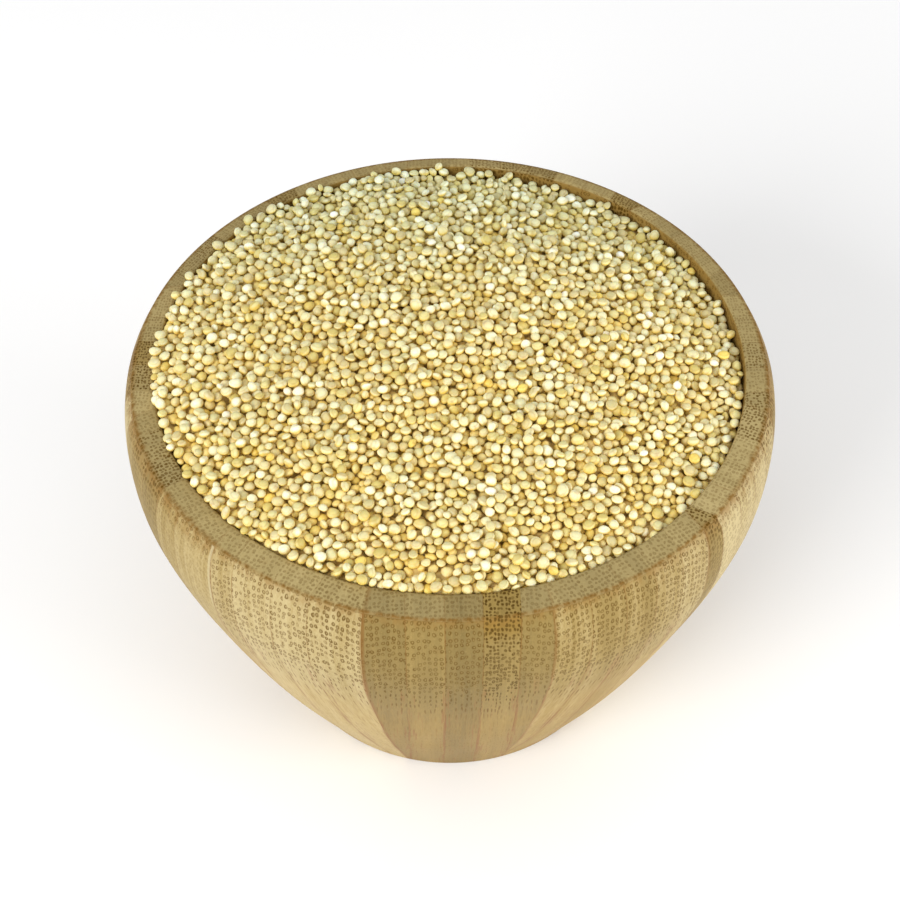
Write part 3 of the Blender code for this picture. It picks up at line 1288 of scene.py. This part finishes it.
@dataclass
class QuinoaHeap:
    """The quinoa: a core with the relief of packed grains, and the loose grains on it.

    The depths are below the heap's mean surface: where the pile starts, where its packed grains
    give the core's relief, down to where those grains are real too, and what is left at the end.
    """

    form: HeapForm
    core_finish: CoreFinish
    start_depth: float = 5.0 * MM
    core_depth: float = 2.3 * MM
    real_depth: float = 2.0 * MM
    left: float = 0.10 * MM
    core_cover: float = 1.5 * MM
    core_relief: float = 1.6 * MM
    shade_start: float = 0.35 * MM
    shade_reach: float = 1.3 * MM
    tilt_spread: float = 0.60
    lump: float = 0.045
    seed: int = 11
    core_columns: int = 240
    core_rings: int = 90
    lining_rings: int = 9
    map_margin: float = 0.04

    def build(self) -> list[Piece]:
        """Piles up the grains and makes their pieces.

        Returns:
            The core and one piece for each kind of grain.
        """
        pile = Pile(self.form, self.start_depth, self.seed)
        packed = pile.fill(self.core_depth, self.tilt_spread)
        core = self.core(pile)
        loose = [grain for grain in packed if self.depth(grain) < self.real_depth]
        loose += pile.fill(self.left, self.tilt_spread)
        log.info("grains: %d packed in the core's relief, %d loose", len(packed), len(loose))
        draw = np.random.default_rng(self.seed + 1)
        shares = np.array([look.share for look in LOOKS.values()])
        chosen = draw.choice(len(shares), len(loose), p=shares / shares.sum())
        pieces = [core]
        for number, (kind, look) in enumerate(LOOKS.items()):
            mine = [grain for grain, pick in zip(loose, chosen) if pick == number]
            pieces.append(self.grains(kind, look, mine, draw))
        return pieces

    def depth(self, grain: Grain) -> float:
        """How far a grain's middle lies below the heap's mean surface."""
        x, y, z = grain.middle
        return float(self.form.height(x, y - self.form.bowl.hollow_shift)) - z

    def core(self, pile: Pile) -> Piece:
        """Makes the core: the pile's surface so far, and a lining down the hollow.

        Args:
            pile: The pile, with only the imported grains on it.

        Returns:
            The core.
        """
        bowl = self.form.bowl
        lining = bowl.hollow(self.lining_rings, bowl.clearance)[1:][::-1]
        limit = bowl.mouth_radius - bowl.clearance
        radii = np.concatenate([lining[:, 0], np.linspace(limit, 0.0, self.core_rings)])
        turn = np.arange(self.core_columns) * TURN / self.core_columns
        x = radii[:, None] * np.cos(turn)
        y = radii[:, None] * np.sin(turn)
        i = np.rint(x / pile.cell).astype(int) + pile.reach
        j = np.rint(y / pile.cell).astype(int) + pile.reach
        top = pile.surface[i, j]
        top = np.where(pile.inside[i, j], top, pile.target[i, j] - self.core_depth)
        top = np.minimum(top, pile.target[i, j] - self.core_cover)
        z = np.where(np.arange(len(radii))[:, None] < len(lining), 0.0, top)
        z[: len(lining)] = lining[:, 1:]
        # How high the relief stands, for the core's painted shade.
        relief = (top - (pile.target[i, j] - self.core_depth)) / self.core_relief
        lift = np.clip(0.5 + relief, 0.0, 1.0)
        lift[: len(lining)] = 0.0
        inner = slice(1, -1)
        poles = [(0.0, bowl.hollow_shift, z[0, 0]), (0.0, bowl.hollow_shift, z[-1, 0])]
        verts = turned_points(x[inner], y[inner] + bowl.hollow_shift, z[inner], poles)
        faces = TurnedFaces.between(len(radii) - 2, self.core_columns)
        core = make_piece("quinoa_core", verts, faces.points, faces.sides)
        lifts = np.append(lift[inner], [0.0, lift[-1, 0]])
        paint(core, "core_lift", "POINT", lifts, lifts, lifts)
        core.data.materials.append(self.core_finish.material())
        return core

    def grains(
        self, kind: Kind, look: KindLook, grains: list[Grain], draw: np.random.Generator
    ) -> Piece:
        """Makes all grains of one kind as one piece.

        Args:
            kind: The kind.
            look: Its form and finish.
            grains: Where its grains lie.
            draw: The random draws.

        Returns:
            The piece.
        """
        unit, height = look.shape.unit()
        faces, places = look.shape.faces()
        count = len(grains)
        half = np.array([grain.half for grain in grains])
        axes = np.array([grain.axes for grain in grains])
        middle = np.array([grain.middle for grain in grains])
        angle = np.arctan2(unit[:, 1], unit[:, 0])
        phase = draw.uniform(0.0, TURN, (3, count, 1))
        lumps = 1.0 + self.lump * (
            np.sin(2.0 * angle + phase[0])
            + 0.7 * np.sin(3.0 * angle + phase[1])
            + 0.8 * np.sin(angle + phase[2]) * unit[:, 2]
        )
        germ_turn = draw.uniform(0.0, TURN, (count, 1))
        near = np.cos(angle - germ_turn).clip(0.0) ** 8 * (1.0 - height**2)
        lumps = lumps * (1.0 - look.shape.nick * near)
        local = unit * lumps[:, :, None] * half[:, None, :]
        verts = np.einsum("nvk,njk->nvj", local, axes) + middle[:, None, :]
        offsets = np.arange(count)[:, None] * len(unit)
        piece = make_piece(
            f"quinoa_{kind.value}",
            verts.reshape(-1, 3),
            (faces.points + offsets).ravel(),
            np.tile(faces.sides, count),
        )
        # How far each point faces up and how deep each grain lies, for its painted shade.
        slope = np.einsum("nvk,njk->nvj", unit / half[:, None, :], axes)
        facing = slope[:, :, 2] / np.linalg.norm(slope, axis=2).clip(1e-9)
        depth = np.array([[self.depth(grain)] for grain in grains])
        buried = np.clip((depth - self.shade_start) / self.shade_reach, 0.0, 1.0)
        paint(piece, "seed_side", "POINT", facing, buried, buried)
        paint(piece, "seed_skin", "POINT", draw.random((count, 1)), height, near)
        across = math.ceil(math.sqrt(count))
        cell = np.stack(np.divmod(np.arange(count), across), 1)[:, None, :]
        margin = self.map_margin
        lay_map(piece, (cell + margin + (1.0 - 2.0 * margin) * places) / across)
        piece.data.materials.append(look.finish.material(f"seed_{kind.value}"))
        return piece


@dataclass(frozen=True)
class Lamp:
    """A square softbox: where it hangs and its side, in metres, and its power in watts."""

    name: str
    place: Vector
    size: float
    power: float


@dataclass
class Studio:
    """A pale floor, soft lights and the camera at the photo's angle.

    distance and aim_drop are in radii of the bowl's crest, and lens is in millimetres.
    """

    bowl: BowlForm
    elevation: float = math.radians(48.8)
    distance: float = 6.0
    aim_drop: float = 0.423
    lens: float = 71.9
    sky_strength: float = 0.68
    floor_half: float = 3.0
    lamps: tuple[Lamp, ...] = (
        Lamp("key", (-0.66, -0.74, 0.62), 0.55, 9.0),
        Lamp("fill", (0.98, -0.40, 0.26), 0.60, 7.9),
        Lamp("top", (0.0, -0.45, 1.00), 0.70, 1.0),
    )

    def build(self) -> None:
        """Makes the floor, the surroundings, the lights and the camera."""
        self.floor()
        self.surroundings()
        for lamp in self.lamps:
            self.hang(lamp)
        self.camera()
        bpy.context.scene.view_settings.view_transform = "Standard"

    def floor(self) -> None:
        """Lays a pale floor under the bowl."""
        half = self.floor_half
        verts = np.array([(-half, -half, 0), (half, -half, 0), (half, half, 0), (-half, half, 0)])
        floor = make_piece("floor", verts, np.arange(4), np.array([4]))
        g = Graph("floor_paint")
        floor.data.materials.append(g.dress(Base_Color=(0.93, 0.93, 0.93), Roughness=0.9))

    def surroundings(self) -> None:
        """Lights the scene from all round with a pale grey."""
        world = bpy.data.worlds.new("studio_room")
        world.use_nodes = True
        sky = world.node_tree.nodes["Background"]
        sky.inputs["Color"].default_value = (1.0, 1.0, 1.0, 1.0)
        sky.inputs["Strength"].default_value = self.sky_strength
        bpy.context.scene.world = world

    def hang(self, lamp: Lamp) -> None:
        """Hangs one lamp so that it points at the bowl.

        Args:
            lamp: The lamp.
        """
        data = bpy.data.lights.new(lamp.name, "AREA")
        data.size = lamp.size
        data.energy = lamp.power
        hung = bpy.data.objects.new(lamp.name, data)
        bpy.context.scene.collection.objects.link(hung)
        hung.location = lamp.place
        self.point_at(hung, (0.0, 0.0, self.bowl.height))

    def point_at(self, thing: Piece, target: Vector) -> None:
        """Turns a lamp or the camera to look at a point."""
        away = thing.location - type(thing.location)(target)
        thing.rotation_euler = away.to_track_quat("Z", "Y").to_euler()

    def camera(self) -> None:
        """Sets the camera at the photo's angle and distance."""
        radius = self.bowl.crest_radius
        aim = (0.0, 0.0, self.bowl.height - self.aim_drop * radius)
        reach = self.distance * radius
        data = bpy.data.cameras.new("photo_view")
        data.lens = self.lens
        data.clip_start = 0.01
        camera = bpy.data.objects.new("photo_view", data)
        bpy.context.scene.collection.objects.link(camera)
        back = -reach * math.cos(self.elevation)
        camera.location = (0.0, back, aim[2] + reach * math.sin(self.elevation))
        self.point_at(camera, aim)
        bpy.context.scene.camera = camera


def main() -> None:
    """Builds the bowl, the heap and the studio."""
    logging.basicConfig(level=logging.INFO, format="%(name)s %(message)s")
    form = BowlForm()
    bowl = BambooBowl(form, BlockLayout(), BambooFinish()).build()
    report(bowl, "bowl")
    for piece in QuinoaHeap(HeapForm(form), CoreFinish()).build():
        report(piece, "quinoa")
    Studio(form).build()


if __name__ == "__main__":
    main()
